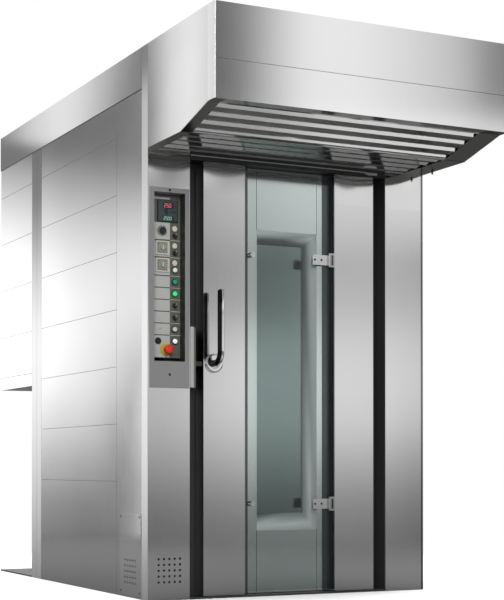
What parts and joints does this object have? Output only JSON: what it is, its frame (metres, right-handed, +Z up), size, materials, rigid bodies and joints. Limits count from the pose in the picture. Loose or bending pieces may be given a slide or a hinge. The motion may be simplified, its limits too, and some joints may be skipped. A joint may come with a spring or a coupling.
{
  "type": "rotating rack oven",
  "caption": "Tall insulated baking cabinet with a hinged glass door, a turning trolley hanger, a steam hood over the door and a raised rear box for the burner.",
  "frame": {"origin": "centre of the footprint's bounding box, on the floor", "axes": "+Z up, -Y out of the door and the hood, +X to the right of a person who faces the door"},
  "size_m": [1.4, 2.805, 2.4],
  "materials": {
    "satin_steel": "satin sheet with a soft sheen",
    "bright_steel": "bright polished sheet",
    "brushed_door": "vertical brushed grain",
    "lining_steel": "dull sheet",
    "louvre_steel": "polished slats",
    "black_frame": "satin black",
    "chrome": "polished",
    "outer_glazing": "clear, slightly green",
    "inner_glazing": "tinted",
    "seal_rubber": "matt",
    "mineral_wool": "fibrous",
    "cast_bars": "rough",
    "heat_steel": "heat-stained",
    "motor_paint": "gloss enamel",
    "galvanised": "dull zinc",
    "bezel_paint": "satin grey",
    "panel_plastic": "dark film",
    "black_plastic": "satin",
    "lamp_plastic": "translucent lens",
    "white_plastic": "gloss",
    "teal_plastic": "gloss",
    "green_plastic": "lit lens",
    "grey_plastic": "gloss",
    "red_plastic": "gloss"
  },
  "bodies": {
    "cabinet": {"base_frame": "black_frame", "chamber_floor": "lining_steel", "chamber_lining": "lining_steel", "air_ducts": "lining_steel", "steam_generator": "cast_bars", "insulation": "mineral_wool", "left_side_panels": "satin_steel", "right_side_panels": "satin_steel", "corner_posts": "bright_steel", "fascia_bands": "bright_steel", "roof_deck": "galvanised", "rear_panels": "satin_steel", "rear_box_floor": "galvanised", "front_left_panel": "satin_steel", "front_right_panel": "satin_steel", "door_frame": "black_frame", "keeper_plate": "bright_steel", "side_vent_cover": "bright_steel", "hood_shell": "bright_steel", "hood_front_panels": "bright_steel", "slant_grille": "louvre_steel", "flat_grille": "louvre_steel", "flue_collars": "galvanised", "heat_exchanger": "heat_steel", "fan_motor": "motor_paint", "gearmotor": "motor_paint", "shaft_bearing": "galvanised", "control_bezel": "bezel_paint", "control_plate": "panel_plastic", "temperature_controller": "black_plastic", "indicator_lamps": "lamp_plastic", "panel_screws": "chrome"},
    "door": {"door_stiles": "brushed_door", "door_core": "satin_steel", "door_glass": "inner_glazing", "door_seal": "seal_rubber", "door_pivots": "chrome", "glass_hinge_brackets": "chrome", "handle_rosette": "chrome"},
    "glass_panel": {"outer_glass": "outer_glazing", "glass_hinge_plates": "chrome"},
    "upper_glass_knob": {"glass_knob_upper": "chrome"},
    "lower_glass_knob": {"glass_knob_lower": "chrome"},
    "handle": {"handle_lever": "chrome"},
    "bolt": {"latch_bolt": "chrome"},
    "rack_drive": {"rack_hanger": "galvanised"},
    "fan_rotor": {"fan_impeller": "galvanised"},
    "knob": {"main_knob": "black_plastic"},
    "upper_timer": {"timer_dial_upper": "black_plastic"},
    "lower_timer": {"timer_dial_lower": "black_plastic"},
    "switch_1": {"selector_1": "black_plastic"},
    "switch_2": {"selector_2": "black_plastic"},
    "switch_3": {"selector_3": "black_plastic"},
    "switch_4": {"selector_4": "black_plastic"},
    "push_1": {"button_1": "white_plastic"},
    "push_2": {"button_2": "teal_plastic"},
    "push_3": {"button_3": "green_plastic"},
    "push_4": {"button_4": "grey_plastic"},
    "push_5": {"button_5": "white_plastic"},
    "stop_push": {"stop_button": "red_plastic"}
  },
  "joints": [
    {"name": "door_hinge", "type": "hinge", "parent": "cabinet", "child": "door", "pos_m": [0.412, -0.6925, 0.95], "axis": [0, 0, 1], "range_deg": [0, 120]},
    {"name": "glass_hinge", "type": "hinge", "parent": "door", "child": "glass_panel", "pos_m": [0.212, -0.7025, 0.965], "axis": [0, 0, 1], "range_deg": [0, 90]},
    {"name": "upper_knob_turn", "type": "hinge", "parent": "glass_panel", "child": "upper_glass_knob", "pos_m": [-0.194, -0.7075, 1.52], "axis": [0, 1, 0], "range_deg": [0, 90]},
    {"name": "lower_knob_turn", "type": "hinge", "parent": "glass_panel", "child": "lower_glass_knob", "pos_m": [-0.194, -0.7075, 0.412], "axis": [0, 1, 0], "range_deg": [0, 90]},
    {"name": "handle_turn", "type": "hinge", "parent": "door", "child": "handle", "pos_m": [-0.387, -0.7475, 1.03], "axis": [0, 1, 0], "range_deg": [0, 90]},
    {"name": "bolt_slide", "type": "slide", "parent": "door", "child": "bolt", "axis": [1, 0, 0], "range_m": [0, 0.018]},
    {"name": "rack_turn", "type": "hinge", "parent": "cabinet", "child": "rack_drive", "pos_m": [0, 0.089, 2], "axis": [0, 0, 1], "continuous": true},
    {"name": "fan_turn", "type": "hinge", "parent": "cabinet", "child": "fan_rotor", "pos_m": [0.36, 1.103, 2], "axis": [0, 0, 1], "continuous": true},
    {"name": "knob_turn", "type": "hinge", "parent": "cabinet", "child": "knob", "pos_m": [-0.6125, -0.6875, 1.605], "axis": [0, 1, 0], "range_deg": [0, 270]},
    {"name": "upper_timer_turn", "type": "hinge", "parent": "cabinet", "child": "upper_timer", "pos_m": [-0.6125, -0.6875, 1.53], "axis": [0, 1, 0], "range_deg": [0, 300]},
    {"name": "lower_timer_turn", "type": "hinge", "parent": "cabinet", "child": "lower_timer", "pos_m": [-0.6125, -0.6875, 1.455], "axis": [0, 1, 0], "range_deg": [0, 300]},
    {"name": "switch_1_turn", "type": "hinge", "parent": "cabinet", "child": "switch_1", "pos_m": [-0.5525, -0.6875, 1.585], "axis": [0, 1, 0], "range_deg": [-45, 45]},
    {"name": "switch_2_turn", "type": "hinge", "parent": "cabinet", "child": "switch_2", "pos_m": [-0.5525, -0.6875, 1.51], "axis": [0, 1, 0], "range_deg": [-45, 45]},
    {"name": "switch_3_turn", "type": "hinge", "parent": "cabinet", "child": "switch_3", "pos_m": [-0.5525, -0.6875, 1.2796], "axis": [0, 1, 0], "range_deg": [-45, 45]},
    {"name": "switch_4_turn", "type": "hinge", "parent": "cabinet", "child": "switch_4", "pos_m": [-0.5525, -0.6875, 1.2278], "axis": [0, 1, 0], "range_deg": [-45, 45]},
    {"name": "push_1_press", "type": "slide", "parent": "cabinet", "child": "push_1", "axis": [0, 1, 0], "range_m": [0, 0.004], "stiffness_N_per_m": 400, "springref_m": -0.003},
    {"name": "push_2_press", "type": "slide", "parent": "cabinet", "child": "push_2", "axis": [0, 1, 0], "range_m": [0, 0.004], "stiffness_N_per_m": 400, "springref_m": -0.003},
    {"name": "push_3_press", "type": "slide", "parent": "cabinet", "child": "push_3", "axis": [0, 1, 0], "range_m": [0, 0.004], "stiffness_N_per_m": 400, "springref_m": -0.003},
    {"name": "push_4_press", "type": "slide", "parent": "cabinet", "child": "push_4", "axis": [0, 1, 0], "range_m": [0, 0.004], "stiffness_N_per_m": 400, "springref_m": -0.003},
    {"name": "push_5_press", "type": "slide", "parent": "cabinet", "child": "push_5", "axis": [0, 1, 0], "range_m": [0, 0.004], "stiffness_N_per_m": 400, "springref_m": -0.003},
    {"name": "stop_press", "type": "slide", "parent": "cabinet", "child": "stop_push", "axis": [0, 1, 0], "range_m": [0, 0.005], "stiffness_N_per_m": 800, "springref_m": -0.004}
  ],
  "couplings": [
    {"joint": "bolt_slide", "follows": "handle_turn", "m_per_rad": 0.01145}
  ]
}
